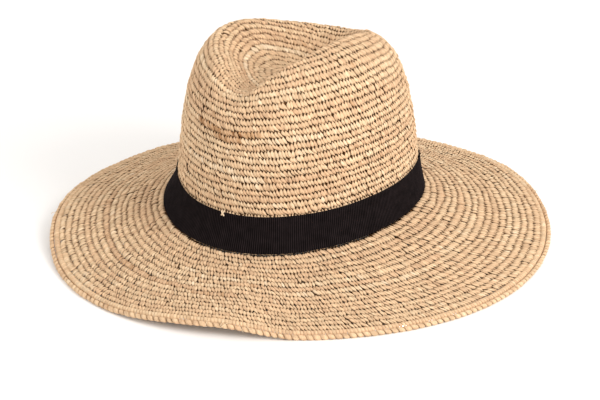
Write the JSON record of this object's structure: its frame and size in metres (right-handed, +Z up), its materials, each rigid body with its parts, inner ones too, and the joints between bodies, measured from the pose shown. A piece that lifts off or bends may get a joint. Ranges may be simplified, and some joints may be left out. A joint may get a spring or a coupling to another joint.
{
  "type": "wide-brimmed straw sun hat",
  "caption": "Crocheted raffia sun hat with a teardrop-dented crown, a black ribbon hatband and a wide wavy brim with a wired edge.",
  "frame": {"origin": "on the table under the middle of the brim's outline, level with the lowest parts of the brim edge", "axes": "+Z up; -Y is the front of the hat; +X is the wearer's left"},
  "size_m": [0.3492, 0.3595, 0.1505],
  "materials": {
    "raffia": "crocheted natural raffia, matte with a light fibre sheen",
    "ribbon": "black grosgrain ribbon, fine ribs across its width",
    "wire": "drawn spring wire",
    "sweatband_cloth": "cotton grosgrain, tan",
    "label_cloth": "plain woven label, blank"
  },
  "bodies": {
    "root": {"crown_tip": "raffia", "crown_side": "raffia", "brim": "raffia", "brim_edge_binding": "raffia", "brim_edge_wire": "wire", "wire_joint_sleeve": "wire", "hatband": "ribbon", "hatband_tack_1": "raffia", "hatband_tack_2": "ribbon", "hatband_tack_3": "ribbon", "hatband_tack_4": "ribbon", "hatband_tack_5": "ribbon", "hatband_tack_6": "ribbon", "hatband_lap_stitch_1": "ribbon", "hatband_lap_stitch_2": "ribbon", "sweatband": "sweatband_cloth", "sweatband_thread": "sweatband_cloth", "sweatband_lap_stitch_1": "sweatband_cloth", "sweatband_lap_stitch_2": "sweatband_cloth", "size_label": "label_cloth", "label_stitch_1": "sweatband_cloth", "label_stitch_2": "sweatband_cloth"}
  },
  "joints": []
}
